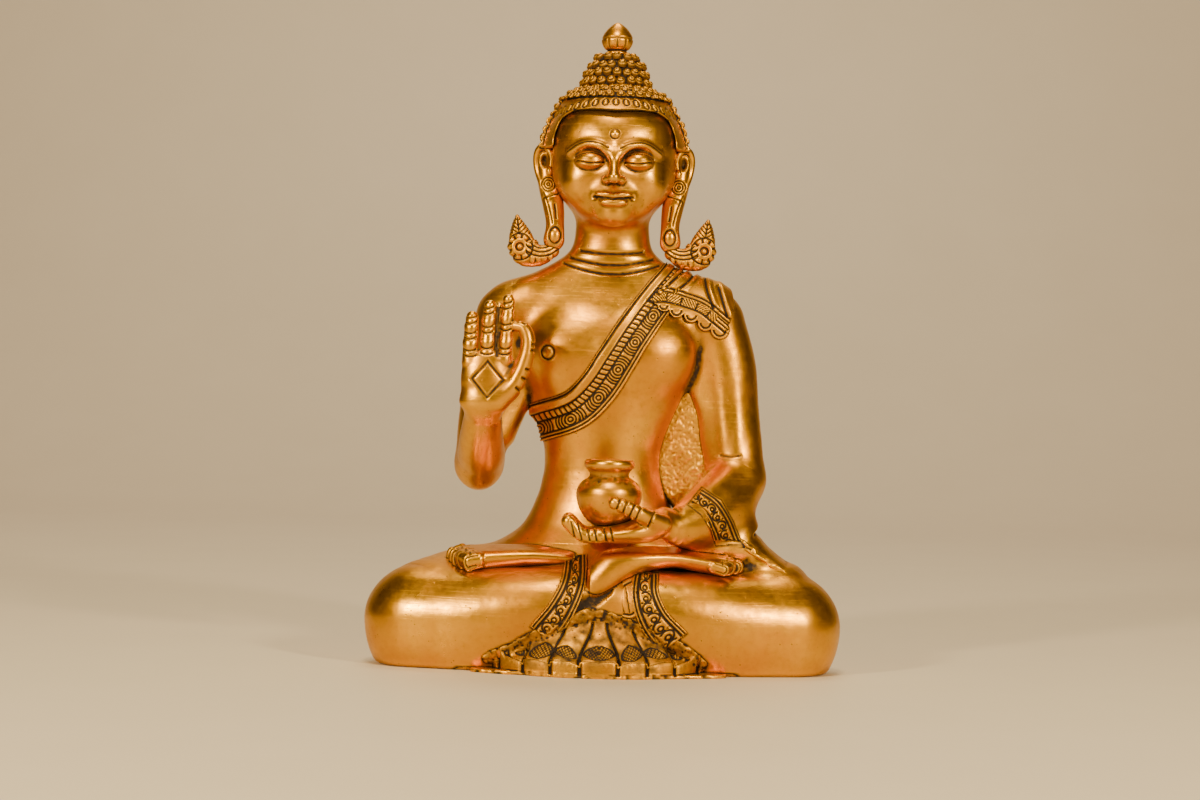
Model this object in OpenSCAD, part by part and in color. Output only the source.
// Seated Buddha, cast in brass: right hand raised in the teaching gesture, left hand holding an alms bowl.
// Frame: X to the viewer's right, Y towards the statue's back, Z up. Millimetres.
// Origin: the middle of the base, on the surface that the statue stands on.
// The statue is drawn at its master height of 250 mm and scaled as a whole to statue_h.

/* [Statue] */
// Height from the table to the tip of the finial
statue_h = 250; // [200:10:300]
// Wall thickness of the hollow castings, at the master height
wall = 3.2; // [2.6:0.2:3.8]
// Thickness of the plate that closes the base
plate_t = 1.6; // [1.2:0.2:2.4]

/* [Robe] */
// How far the robe's bands stand proud of the body
robe_t = 1.2; // [0.8:0.1:1.6]
// Pleats in the fan of cloth between the knees
fan_pleats = 9; // [7:1:11]
// Scallops along the hem on the left shoulder
hem_scallops = 5; // [4:1:6]

/* [Alms bowl] */
// Outer radius of the bowl's belly
bowl_r = 12.4; // [12:0.1:12.8]
// Wall thickness of the bowl
bowl_wall = 2.2; // [1.8:0.1:2.4]

/* [Finial] */
// Largest radius of the jewel on the topknot
jewel_r = 5.8; // [5.2:0.1:6.4]

/* [Hidden] */
MASTER_H = 250;
BIG = 400;
// Sides of the rounds in the sculpted castings.
ball_fn = 14;
ring_fn = 24;
small_fn = 8;
hollow_fn = 10;
brass = [0.80, 0.56, 0.22];
dark_brass = [0.52, 0.34, 0.13];
robe_brass = [0.74, 0.48, 0.18];
copper = [0.72, 0.40, 0.26];

// Joint planes between the castings.
waist_z = 48;
neck_z = 163.5;
shoulder_x = 38;
armpit_z = 114;
body_y = 8;

// Each ring of a loft is [height, middle x, middle y, half width, half depth].
torso_rings = [
    [34, -1, body_y, 45, 29],
    [waist_z - 4, -1, body_y, 40, 26],
    [waist_z, -1, body_y, 36.5, 24],
    [53, -1, body_y, 31.5, 21.5],
    [59, -1, body_y, 28, 19.5],
    [67, -1, body_y, 24.6, 18],
    [76, -1.3, body_y, 22.7, 17.2],
    [84, -1.4, body_y, 22.9, 17.4],
    [92, -1.2, body_y, 25.2, 18.2],
    [102, -1, body_y, 29.4, 19.6],
    [112, -0.6, body_y, 33, 20.6],
    [122, 0, body_y, 35, 20.6],
    [132, 0, body_y + 0.5, 38, 19],
    [140, 0, body_y + 1, 41, 16.6],
    [146, 0, body_y + 1, 39.4, 14.6],
    [150, 0, body_y + 1, 34.6, 13.6],
    [153, 0, body_y + 1, 28.4, 13],
    [155.5, 0, body_y + 1, 23.4, 12.6],
    [158, 0, body_y + 0.5, 19.2, 12.2],
    [161, 0, body_y, 15.8, 12],
    [neck_z + 1.5, 0, body_y, 13.8, 11.6]
];

// A limb is a chain of ellipsoids, each [middle, radii].

right_shoulder = [-40.5, body_y + 1, 134.3];
right_elbow = [-49.4, 5.5, 77.6];
right_wrist = [-46.8, -27.5, 98.5];
right_upper = [
    [right_shoulder, [11.8, 12.2, 11.8]],
    [[-45, 9.5, 118], [11.4, 12, 11.5]],
    [[-47, 9, 100], [10.6, 11, 10.6]],
    [[-48.6, 7.6, 87], [9.8, 10.8, 10.2]],
    [right_elbow, [9, 10.4, 10]]
];
right_fore = [
    [right_elbow, [9, 10.4, 10]],
    [[-48.4, -4, 81.4], [9, 9.4, 9]],
    [[-48, -12, 86.6], [8.5, 8.2, 8]],
    [[-47.4, -20, 92.5], [7.6, 6.6, 6.8]],
    [right_wrist, [6.8, 4.8, 5]]
];

left_shoulder = [40.5, body_y + 1, 134.3];
left_elbow = [51.3, 4, 74];
left_wrist = [22, -29, 58];
left_upper = [
    [left_shoulder, [12, 12.2, 12]],
    [[45.2, 9, 118], [11.9, 12, 12]],
    [[47.8, 8, 100], [11.2, 11.2, 11.2]],
    [[50, 6, 85], [10.6, 10.6, 10.6]],
    [left_elbow, [10.2, 10.4, 10.4]]
];
left_fore = [
    [left_elbow, [10.2, 10.4, 10.4]],
    [[42.5, -9, 66], [10.2, 9.8, 9.8]],
    [[34, -19, 61.5], [8.4, 8, 8]],
    [[27, -26, 58.5], [6, 6, 5.4]],
    [left_wrist, [4.6, 5.6, 4.4]]
];

// The folded legs: a thigh from hip to knee, and a shin from the knee to the ankle in the middle.
thigh = [
    [[22, 22, 22], [24, 24, 24]],
    [[46, 12, 22], [24, 24, 23.6]],
    [[62, 1, 20], [23.5, 23, 21.5]],
    [[68.4, -5, 17.5], [21.8, 22, 20.2]]
];
shin = [
    [[68.4, -7, 17.5], [21.6, 20.4, 20.2]],
    [[52, -14, 18.5], [19, 18.5, 19.5]],
    [[32, -19.5, 22], [15, 16, 17]],
    [[14, -22, 26], [11, 13, 13.5]],
    [[0, -20, 28], [9, 11, 11]]
];
hips = [
    [[-24, 20, 24], [25, 28, 25]],
    [[24, 20, 24], [25, 28, 25]]
];
lap = [
    [[-30, 4, 26], [24, 20, 20.5]],
    [[30, 4, 26], [24, 20, 20.5]]
];

// How far inside a leg's outline it is, on the table and just above it, as [height, inset].
pad_levels = [[0, 7], [3, 3.6]];

// The soles lie on the thighs, left foot on the right thigh and right foot on the left.
left_foot_chain = [
    [[-15, -14, 42], [5.5, 6.5, 3.6]],
    [[-28, -13, 42.5], [7, 8.5, 4.2]],
    [[-42, -12.5, 42.2], [7.5, 9.5, 4.6]],
    [[-52, -12, 41.4], [5.4, 10, 4.6]]
];
right_foot_chain = [
    [[3, -27, 32.5], [6, 6, 6]],
    [[13, -25, 38.5], [6.5, 7, 5.5]],
    [[25, -21, 42], [7.5, 8, 4.6]],
    [[40, -17.5, 42], [7.5, 9, 4.4]],
    [[48.5, -16, 41.5], [5.4, 9.6, 4.4]]
];
toe_r = 2.4;

// The raised right hand, palm forward: the heel, the palm and the roots of the fingers.
palm = [
    [[-47, -30, 101.5], [8.2, 4.8, 5]],
    [[-46.4, -30.5, 110], [9.2, 4.6, 6]],
    [[-45.4, -30.5, 117], [9.4, 3.8, 4]]
];
// Each finger is [root, tip, radius at the root].
raised_fingers = [
    [[-52.4, -30.5, 116], [-51.8, -30, 132], 2.9],
    [[-46, -30.8, 117], [-45.2, -30.4, 136.4], 2.8],
    [[-42.3, -29, 117], [-41.8, -28.5, 136.4], 2.2],
    [[-39.2, -31, 117], [-38.2, -31, 139], 2.5]
];
raised_thumb = [
    [[-42, -30.5, 102], [5, 4.8, 4.8]],
    [[-35.6, -31.5, 108], [3.8, 4, 4.4]],
    [[-31.8, -32, 116.5], [3.1, 3.3, 3.6]],
    [[-30.6, -32, 124], [2.8, 3, 3.2]],
    [[-32.4, -31.8, 129], [2.5, 2.7, 2.5]],
    [[-35.6, -31.4, 130], [2, 2.3, 2]]
];

// The left hand, palm up under the bowl.
cupped_palm = [
    [left_wrist, [4.6, 5.6, 4.4]],
    [[15, -31, 54.5], [5, 9, 3.6]],
    [[4, -32, 52.8], [6, 10.4, 3]],
    [[-3, -32, 52.8], [5, 10.2, 2.8]]
];
cupped_fingers_y = [-40, -35.2, -30.4, -25.6];
finger_curl = [[-2, 52.6], [-8.5, 53], [-13.6, 57.6]];
cupped_finger_r = 2.6;
cupped_thumb = [
    [[21, -36, 57.5], [3.8, 4, 3.6]],
    [[14, -42, 60.6], [3, 3, 3]],
    [[8, -44.2, 63.4], [2.9, 2.6, 2.8]],
    [[3.2, -43.8, 65], [2.3, 2.2, 2.3]]
];

// Head and neck. The face divides in three equal parts, hairline to brow to nose to chin.
head_mid = [0, 5, 195.5];
skull_r = [23.4, 24.5, 26];
jaw = [
    [[0, -1, 189], [22, 18.5, 15]],
    [[0, -4.6, 177.6], [14, 12.6, 8]]
];
neck = [
    [[0, 7, 178], [13, 12.5, 8]],
    [[0, body_y, neck_z - 6], [14, 12, 6]]
];
hairline_z = 213.5;
chin_z = 169.6;
face_third = (hairline_z - chin_z) / 3;
brow_z = hairline_z - face_third;
nose_z = chin_z + face_third;
eye_w = 46 / 5;
eye_z = brow_z - 4.6;
mouth_z = nose_z - face_third / 3;
face_y = -19;

hair_mid = [0, 6.5, 198];
hair_r = [28.2, 27.6, 27.8];
nape_z = 181;
curl_r = 2.1;
curls_around = 17;

// The topknot's outline, as [radius, height], and its rows of curls.
topknot_profile = [
    [15.6, 220.6], [14, 223.4], [12.6, 226.6], [11.2, 229.8], [9.6, 233], [7.2, 236.6], [4.2, 239.4]
];
jewel_base_z = 239.2;
jewel_mid_z = 243.4;

ear_chain = [
    [[26.6, 9, 196.5], [4.2, 6.2, 5.2]],
    [[25.6, 7.5, 188], [4, 5, 5]],
    [[22.6, 5.5, 179], [4, 4, 5]],
    [[21.8, 4.6, 171], [2.8, 3.4, 4]],
    [[21.8, 4.6, 165], [3.4, 3.8, 4.6]]
];
spray_chain = [
    [[23, 5, 160.5], [2.6, 3.4, 2.6]],
    [[28.5, 5, 158.6], [4, 4, 4.2]],
    [[34.6, 5, 161], [5, 4, 6]],
    [[36.8, 5, 167], [3.2, 3, 4]],
    [[36.9, 5, 173], [0.8, 1.2, 0.8]]
];

// Alms bowl, standing in the palm.
bowl_at = [1.2, -29.4, 55.4];
bowl_h = 25.4;
bowl_rim_r = 9.4;
bowl_neck_r = 7.6;
bowl_neck_z = 18.8;
bowl_mid_z = 12.6;
bowl_shoulder_h = 7;

// Robe edges in the front view, as Bezier curves [x, z].
sash_curve = [[26, 152.6], [7, 130.6], [-1, 97], [-27.5, 93.4]];
sash_w = [13.4, 15];
sash_rungs = 16;
pleat_outline = [
    [14.5, 141.8], [20, 147.6], [27, 155.5], [32, 156.5], [40, 153], [46, 147.5], [47, 141], [46, 134],
    [44, 128.5], [38, 128], [33, 132], [29, 136], [22, 137], [17, 140]
];
hem_from = [18, 140];
hem_to = [43, 131];
fold_tops = [[29.2, 154.2], [32.4, 153.2], [37, 149.8], [42, 146.4]];
fold_ends = [[20, 144.2], [25, 144.4], [39.8, 139.6], [44.6, 137.4]];
fold_w = 1;
right_hem_outline = [
    [-14.6, 43], [-16.6, 35.5], [-21.2, 25.3], [-27, 16.4],
    [-17.4, 14], [-9.7, 23.5], [-5.9, 34], [-6.8, 43]
];
left_hem_outline = [
    [11.4, 37], [10.2, 30], [13.2, 21], [19.4, 13],
    [33, 13], [25.4, 21.5], [21.2, 31], [20.4, 37.8]
];

// Plan of the fan of cloth on the table.
fan_mid = [-1.5, -21];
fan_w = 41;
fan_d = 25.6;
fan_rim = 4.6;
fan_peak = [-1, -34, 20];
flange_w = 55;
flange_d = 22;
flange_t = 1.4;

web_outline = [[33, 117], [23, 96], [19, 80], [22, 68], [27, 61], [35, 66], [44, 80], [41, 95], [38, 115]];
web_y = 5;
web_t = 3;

cuff_at = [39.4, -13, 64];
cuff_w = 8;
drape_chain = [
    [[50.2, -1, 57], [9.4, 10.4, 7]],
    [[50.6, -1, 50.4], [10.6, 12, 6.6]],
    [[58, 0, 44.6], [10, 12, 6]],
    [[67, 0, 37.6], [7.8, 11, 4]]
];

// ---------- helpers ----------

function mirror_x(chain) = [for (s = chain) [[-s[0][0], s[0][1], s[0][2]], s[1]]];
function unit(v) = v / norm(v);
function mix(a, b, t) = a * (1 - t) + b * t;
function bezier(p, t) = mix(mix(mix(p[0], p[1], t), mix(p[1], p[2], t), t),
                            mix(mix(p[1], p[2], t), mix(p[2], p[3], t), t), t);

module ball(s, grow = 0, fn = ball_fn)
    translate(s[0]) scale(s[1] + [grow, grow, grow]) sphere(r = 1, $fn = fn);

// A chain of ellipsoids, each joined to the next.
module limb(chain, grow = 0, fn = ball_fn)
    for (i = [0 : len(chain) - 2])
        hull() {
            ball(chain[i], grow, fn);
            ball(chain[i + 1], grow, fn);
        }

// A leg is a limb that flattens where it meets the table.
module pad(s, grow, fn)
    for (level = pad_levels)
        translate([s[0][0], s[0][1], grow < 0 ? 0 : level[0]])
            scale([s[1][0] - level[1] + grow, s[1][1] - level[1] + grow, 1])
                cylinder(r = 1, h = 0.01, $fn = fn);

module leg(chain, grow, fn)
    for (i = [0 : len(chain) - 2])
        hull()
            for (s = [chain[i], chain[i + 1]]) {
                ball(s, grow, fn);
                pad(s, grow, fn);
            }

// A body through level rings.
module ring_slice(ring, grow, fn)
    translate([ring[1], ring[2], ring[0]])
        linear_extrude(0.01)
            scale([ring[3] + grow, ring[4] + grow]) circle(r = 1, $fn = fn);

module loft(rings, grow = 0, fn = ring_fn)
    for (i = [0 : len(rings) - 2])
        hull() {
            ring_slice(rings[i], grow, fn);
            ring_slice(rings[i + 1], grow, fn);
        }

// Everything on the side of a plane that its normal points to.
module half_space(at, normal)
    translate(at)
        rotate([0, acos(unit(normal)[2]), atan2(normal[1], normal[0])])
            translate([-BIG, -BIG, 0]) cube([2 * BIG, 2 * BIG, BIG]);

module slab(z0, z1)
    translate([-BIG, -BIG, z0]) cube([2 * BIG, 2 * BIG, z1 - z0]);

// An outline in the front view, [x, z], pushed through from y0 to y1.
module front_prism(points, y0, y1)
    translate([0, y1, 0]) rotate([90, 0, 0]) linear_extrude(y1 - y0) polygon(points);

// A band in the front view that follows a curve, from width w0 to w1.
function band(curve, w0, w1, steps = 12) = let(
    at = [for (i = [0 : steps]) bezier(curve, i / steps)],
    along = [for (i = [0 : steps]) unit(at[min(i + 1, steps)] - at[max(i - 1, 0)])],
    half = [for (i = [0 : steps]) mix(w0, w1, i / steps) / 2]
) concat(
    [for (i = [0 : steps]) at[i] + half[i] * [-along[i][1], along[i][0]]],
    [for (i = [steps : -1 : 0]) at[i] - half[i] * [-along[i][1], along[i][0]]]
);

// ---------- whole forms, before they are parted ----------

module torso_form(grow = 0)
    loft(torso_rings, grow);

module legs_form(grow = 0, fn = ball_fn) {
    for (side = [-1, 1]) {
        leg(side > 0 ? thigh : mirror_x(thigh), grow, fn);
        leg(side > 0 ? shin : mirror_x(shin), grow, fn);
    }
    leg(hips, grow, fn);
    leg(lap, grow, fn);
}

module head_form(grow = 0) {
    ball([head_mid, skull_r], grow, 20);
    limb(jaw, grow);
    limb(neck, grow);
}

// The legs' hollows run into one another over the table.
module leg_hollow() {
    legs_form(-wall, hollow_fn);
    translate([-46, -9, 0]) cube([92, 8, 5]);
}

module body_hollow() {
    leg_hollow();
    loft([for (i = [0 : 2 : len(torso_rings) - 1]) torso_rings[i]], -wall - 0.4, 2 * hollow_fn);
}

module head_hollow() {
    limb(neck, -wall, hollow_fn);
    ball([head_mid, skull_r], -wall, hollow_fn);
}

elbow_r_normal = unit(right_wrist - right_elbow) - unit(right_shoulder - right_elbow);
elbow_l_normal = unit(left_wrist - left_elbow) - unit(left_shoulder - left_elbow);
wrist_r_normal = unit(right_wrist - right_elbow);
wrist_l_normal = unit(left_wrist - left_elbow);

module right_arm_form() {
    limb(right_upper);
    limb(right_fore);
}

module left_arm_form() {
    limb(left_upper);
    limb(left_fore);
}

// ---------- castings ----------

module lap_form(grow = 0) {
    legs_form(grow);
    loft([for (i = [0 : 3]) torso_rings[i]], grow);
}

module lap_casting() color(brass)
    difference() {
        intersection() {
            lap_form();
            slab(0, waist_z);
        }
        body_hollow();
    }

module base_plate() color(copper)
    intersection() {
        leg_hollow();
        slab(0, plate_t);
    }

module torso_casting() color(brass)
    difference() {
        intersection() {
            union() {
                torso_form();
                intersection() {
                    union() {
                        limb(right_upper);
                        limb(left_upper);
                    }
                    slab(armpit_z, BIG);
                }
            }
            slab(waist_z, neck_z);
            translate([-shoulder_x, -BIG, 0]) cube([2 * shoulder_x, 2 * BIG, BIG]);
        }
        body_hollow();
        head_hollow();
    }

// What the torso casting keeps for itself, taken off the arms.
module torso_side(side) {
    torso_form();
    translate([side > 0 ? -BIG : -shoulder_x, -BIG, armpit_z]) cube([BIG + shoulder_x, 2 * BIG, BIG]);
}

module right_upper_arm() color(brass)
    difference() {
        right_arm_form();
        torso_side(-1);
        half_space(right_elbow, elbow_r_normal);
    }

module right_forearm() color(brass)
    difference() {
        intersection() {
            right_arm_form();
            half_space(right_elbow, elbow_r_normal);
        }
        half_space(right_wrist, wrist_r_normal);
    }

module left_upper_arm() color(brass)
    difference() {
        left_arm_form();
        torso_side(1);
        half_space(left_elbow, elbow_l_normal);
    }

module left_forearm() color(brass)
    difference() {
        intersection() {
            left_arm_form();
            half_space(left_elbow, elbow_l_normal);
        }
        half_space(left_wrist, wrist_l_normal);
        torso_form();
    }

module finger(root, tip, r)
    limb([
        [root, [r, r, r]],
        [mix(root, tip, 0.6), [r, r, r] * 0.94],
        [tip, [r, r, r] * 0.84]
    ], 0, small_fn);

module right_hand() color(brass)
    difference() {
        union() {
            limb(palm, 0, small_fn + 2);
            limb(raised_thumb, 0, small_fn);
            hull() {
                ball(palm[0], 0, small_fn + 2);
                ball([right_wrist, [6.8, 4.8, 5]]);
            }
            for (f = raised_fingers) finger(f[0], f[1], f[2]);
        }
        half_space(right_wrist, -wrist_r_normal);
    }

module left_hand() color(brass)
    difference() {
        union() {
            limb(cupped_palm, 0, small_fn + 2);
            limb(cupped_thumb, 0, small_fn);
            for (y = cupped_fingers_y)
                for (i = [0 : 1])
                    hull()
                        for (p = [finger_curl[i], finger_curl[i + 1]])
                            translate([p[0], y, p[1]]) sphere(r = cupped_finger_r, $fn = small_fn);
        }
        half_space(left_wrist, -wrist_l_normal);
        bowl_solid(0);
    }

// ---------- alms bowl ----------

// The side of the bowl from the foot up to the rim, as [radius, height], set in by a wall thickness.
function bowl_side(inset) = concat(
    [for (i = [0 : 10]) let(a = mix(-64, 46, i / 10), up = a < 0 ? bowl_mid_z - 1.4 : bowl_shoulder_h)
        [(bowl_r - inset) * cos(a), bowl_mid_z + (up - inset) * sin(a)]],
    [[bowl_neck_r - inset, bowl_neck_z], [bowl_neck_r + 0.6 - inset, bowl_neck_z + 3],
     [bowl_rim_r - inset, bowl_h]]
);

module bowl_solid(inset)
    translate(bowl_at)
        rotate_extrude($fn = 48)
            polygon(concat([[0, bowl_side(inset)[0][1]]], bowl_side(inset), [[0, bowl_h]]));

module alms_bowl() color(brass)
    difference() {
        bowl_solid(0);
        bowl_solid(bowl_wall);
    }

// ---------- head ----------

module face_features() {
    for (side = [-1, 1]) {
        // Heavy eyelids.
        translate([side * eye_w, face_y + 1.4, eye_z]) scale([5, 3, 2.8]) sphere(r = 1, $fn = 12);
        // Brow ridge.
        for (i = [0 : 3])
            hull()
                for (k = [i, i + 1])
                    translate([side * mix(3, 16, k / 4), face_y + 0.4 + pow(k / 4, 2) * 4.6,
                               brow_z - 3 + 3 * sin(180 * k / 4 * 0.8 + 20)])
                        sphere(r = 1.5, $fn = 6);
        // Wing of the nose.
        translate([side * 3.1, face_y - 1.4, nose_z + 2]) sphere(r = 1.7, $fn = 12);
        // Lips, from the middle to the corner.
        for (lip = [-1, 1])
            hull() {
                translate([0, face_y - 0.4, mouth_z + lip * 1.1]) sphere(r = 1.7, $fn = 12);
                translate([side * 6.4, face_y + 1.8, mouth_z + 0.3]) sphere(r = 0.7, $fn = 8);
            }
    }
    // Bridge and tip of the nose.
    hull() {
        translate([0, face_y + 0.6, brow_z - 1]) sphere(r = 1.6, $fn = 12);
        translate([0, face_y - 3.2, nose_z + 2.4]) sphere(r = 2.4, $fn = 12);
    }
    // Chin.
    translate([0, face_y + 6, chin_z + 5]) scale([7, 6, 5]) sphere(r = 1, $fn = 12);
}

module head_casting() color(brass)
    difference() {
        union() {
            head_form();
            face_features();
        }
        head_hollow();
        slab(-BIG, neck_z);
    }

// A snail-shell curl standing on a surface.
module curl(at, out)
    hull() {
        translate(at) sphere(r = curl_r, $fn = 5);
        translate(at + unit(out) * curl_r * 0.8) sphere(r = curl_r * 0.4, $fn = 3);
    }

module hair_shell()
    difference() {
        ball([hair_mid, hair_r], 0, 24);
        head_form();
        slab(-BIG, nape_z);
        translate([-BIG, -BIG, -BIG]) cube([2 * BIG, BIG + hair_mid[1] + 3, BIG + 200]);
        front_prism([
            [-21.5, 190], [-22.5, 200], [-21, 208], [-16, hairline_z - 0.6], [0, hairline_z],
            [16, hairline_z - 0.6], [21, 208], [22.5, 200], [21.5, 190]
        ], -BIG, hair_mid[1]);
    }

module hair_cap() color(dark_brass)
    difference() {
        union() {
            hair_shell();
            for (row = [0 : 5])
                let(up = 17 * row - 30, n = round(curls_around * cos(up)))
                    for (k = [0 : n - 1])
                        let(around = (k + row % 2 / 2) * 360 / n,
                            out = [cos(around) * cos(up), sin(around) * cos(up), sin(up)])
                            if (out[1] > 0.2 || up > 30)
                                curl([for (i = [0 : 2]) hair_mid[i] + (hair_r[i] - 0.4) * out[i]], out);
        }
        head_form();
        slab(-BIG, nape_z);
    }

module topknot_body()
    rotate_extrude($fn = 16)
        polygon(concat([[0, 216], [16, 216]], topknot_profile, [[0, jewel_base_z]]));

module topknot() color(dark_brass)
    translate([0, hair_mid[1] - 2, 0])
        difference() {
            union() {
                topknot_body();
                for (row = [0 : 5])
                    let(p = mix(topknot_profile[row], topknot_profile[row + 1], 0.5),
                        n = round(p[0] * 0.8))
                        for (k = [0 : n - 1])
                            let(a = (k + row % 2 / 2) * 360 / n)
                                curl([p[0] * cos(a), p[0] * sin(a), p[1]], [cos(a), sin(a), 0.5]);
            }
            translate([0, 2 - hair_mid[1], 0]) head_form();
            translate([0, 2 - hair_mid[1], 0]) hair_shell();
            slab(jewel_base_z, BIG);
        }

module finial_jewel() color(brass)
    translate([0, hair_mid[1] - 2, jewel_base_z])
        rotate_extrude($fn = 48)
            polygon(concat(
                [[0, 0], [4, 0], [4, 1.2]],
                [for (i = [0 : 8]) let(a = -30 + i * 30 / 8)
                    [jewel_r * cos(a), jewel_mid_z - jewel_base_z + 4 * sin(a)]],
                [for (i = [1 : 12]) let(t = i / 12)
                    [jewel_r * sqrt(1 - t * t) * (1 - 0.12 * t),
                     mix(jewel_mid_z, MASTER_H, t) - jewel_base_z]]
            ));

module ear(side) color(brass)
    difference() {
        limb(side > 0 ? ear_chain : mirror_x(ear_chain), 0, small_fn);
        head_form();
        hair_shell();
        torso_form();
        for (k = [0 : 7])
            hull() {
                translate([side * 31, 6, 197 - k * 1.6]) sphere(r = 1.6, $fn = 8);
                translate([side * 30.4, 5, 195.4 - k * 1.6]) sphere(r = 1.6, $fn = 8);
            }
    }

module right_ear() ear(-1);
module left_ear() ear(1);

module ear_spray(side) color(robe_brass)
    difference() {
        union() {
            limb(side > 0 ? spray_chain : mirror_x(spray_chain), 0, small_fn);
            for (k = [0 : 4])
                hull() {
                    translate([side * (35.6 + 2.6 * cos(72 * k)), 1.6, 162 + 2.6 * sin(72 * k)])
                        sphere(r = 1, $fn = 6);
                    translate([side * 35.6, 1.2, 162]) sphere(r = 1, $fn = 6);
                }
        }
        limb(side > 0 ? ear_chain : mirror_x(ear_chain), 0, small_fn);
        torso_form();
        limb(side > 0 ? left_upper : right_upper);
        if (side > 0) robe_over_shoulder();
    }

module right_ear_spray() ear_spray(-1);
module left_ear_spray() ear_spray(1);

// ---------- robe ----------

module robe_skin(t) {
    loft(torso_rings, t);
    limb(left_upper, t);
}

module robe_over_shoulder()
    intersection() {
        robe_skin(robe_t + 0.4);
        front_prism(pleat_outline, -BIG, BIG);
    }

module chest_sash() color(robe_brass)
    difference() {
        intersection() {
            torso_form(robe_t);
            front_prism(band(sash_curve, sash_w[0], sash_w[1]), -BIG, BIG);
        }
        torso_form();
        limb(right_upper);
        limb(left_upper);
        front_prism(pleat_outline, -BIG, BIG);
        for (i = [1 : sash_rungs]) front_prism(sash_rung(i / (sash_rungs + 1)), -BIG, 0);
    }

// A groove across the lower half of the sash.
function sash_rung(t) = let(
    at = bezier(sash_curve, t),
    along = unit(bezier(sash_curve, t + 0.01) - at),
    out = [-along[1], along[0]] * (along[0] < 0 ? 1 : -1)
) [at + along * 0.4, at - along * 0.4, at - along * 0.4 - out * 6, at + along * 0.4 - out * 6];

module shoulder_pleats() color(robe_brass)
    difference() {
        robe_over_shoulder();
        robe_skin(0);
        slab(neck_z, BIG);
        ear_gap();
        for (i = [0 : len(fold_tops) - 1])
            front_prism(
                band([fold_tops[i], fold_tops[i], fold_ends[i], fold_ends[i]], fold_w, fold_w, 2),
                -BIG, body_y);
        for (i = [0 : hem_scallops])
            let(p = mix(hem_from, hem_to, i / hem_scallops))
                translate([p[0], -BIG, p[1] - 2.6])
                    rotate([-90, 0, 0]) cylinder(r = 1.4, h = BIG + body_y, $fn = 12);
    }

module ear_gap()
    limb(ear_chain, 0, small_fn);

module sleeve_cuff() color(robe_brass)
    difference() {
        intersection() {
            limb(left_fore, robe_t);
            half_space(cuff_at + wrist_l_normal * cuff_w / 2, -wrist_l_normal);
            half_space(cuff_at - wrist_l_normal * cuff_w / 2, wrist_l_normal);
        }
        limb(left_fore);
        limb(left_upper);
        torso_form();
        web_block();
    }

module sleeve_drape() color(robe_brass)
    difference() {
        limb(drape_chain);
        legs_form();
        torso_form();
        limb(left_upper);
        limb(left_fore, robe_t);
        limb(right_foot_chain);
    }

module web_block()
    front_prism(web_outline, web_y - web_t / 2, web_y + web_t / 2);

module side_web() color(dark_brass)
    difference() {
        web_block();
        torso_form();
        limb(left_upper);
        limb(left_fore);
    }

// ---------- feet, hems and fan ----------

module foot(chain, out) {
    limb(chain, 0, 12);
    for (k = [0 : 4])
        let(tip = chain[len(chain) - 1])
            hull() {
                translate(tip[0] + [0, (k - 2) * 4.2, 0]) sphere(r = toe_r, $fn = small_fn);
                translate(tip[0] + [out * (6.4 - abs(k - 2) * 0.8), (k - 2) * 4.2, -1])
                    sphere(r = toe_r * 0.9, $fn = small_fn);
            }
}

module right_foot() color(brass)
    difference() {
        foot(right_foot_chain, 1);
        legs_form();
        torso_form();
        limb(cupped_palm, 0, small_fn + 2);
    }

module left_foot() color(brass)
    difference() {
        foot(left_foot_chain, -1);
        legs_form();
        torso_form();
        limb(right_foot_chain);
    }

module hem_band(outline) color(robe_brass)
    difference() {
        intersection() {
            legs_form(robe_t);
            front_prism(outline, -BIG, -20);
        }
        legs_form();
        limb(right_foot_chain);
        limb(left_foot_chain);
        slab(-BIG, 0);
    }

module right_hem_band() hem_band(right_hem_outline);
module left_hem_band() hem_band(left_hem_outline);

// One pleat of the fan, a wedge from the peak to the rim, higher along one edge.
module fan_pleat(k) {
    function rim(i) = let(a = 180 + (180 * i) / fan_pleats)
        [fan_mid[0] + fan_w * cos(a), fan_mid[1] + fan_d * sin(a), 0];
    hull() {
        translate(fan_peak) sphere(r = 2.4, $fn = 10);
        translate([fan_peak[0], fan_mid[1], 0]) cylinder(r = 2, h = fan_peak[2], $fn = 8);
        for (i = [k, k + 1])
            translate(rim(i)) cylinder(r = 0.4, h = fan_rim - (i - k) * 2.2, $fn = 6);
        translate(mix(rim(k), rim(k + 1), 0.5) * 1.01 + [0, -0.4, 0])
            cylinder(r = 0.4, h = fan_rim - 0.4, $fn = 6);
    }
}

module hem_fan() color(robe_brass)
    difference() {
        union() {
            for (k = [0 : fan_pleats - 1]) fan_pleat(k);
            translate([fan_mid[0], fan_mid[1], 0])
                scale([flange_w, flange_d, 1]) cylinder(r = 1, h = flange_t);
        }
        translate([-BIG, fan_mid[1] - 3, -1]) cube([2 * BIG, BIG, BIG]);
        legs_form();
        hem_band(right_hem_outline);
        hem_band(left_hem_outline);
    }

// ---------- the statue ----------

k = statue_h / MASTER_H;

scale(k) lap_casting();
scale(k) base_plate();
scale(k) torso_casting();
scale(k) right_upper_arm();
scale(k) right_forearm();
scale(k) right_hand();
scale(k) left_upper_arm();
scale(k) left_forearm();
scale(k) left_hand();
scale(k) alms_bowl();
scale(k) head_casting();
scale(k) hair_cap();
scale(k) topknot();
scale(k) finial_jewel();
scale(k) right_ear();
scale(k) left_ear();
scale(k) right_ear_spray();
scale(k) left_ear_spray();
scale(k) chest_sash();
scale(k) shoulder_pleats();
scale(k) sleeve_cuff();
scale(k) sleeve_drape();
scale(k) side_web();
scale(k) left_foot();
scale(k) right_foot();
scale(k) right_hem_band();
scale(k) left_hem_band();
scale(k) hem_fan();
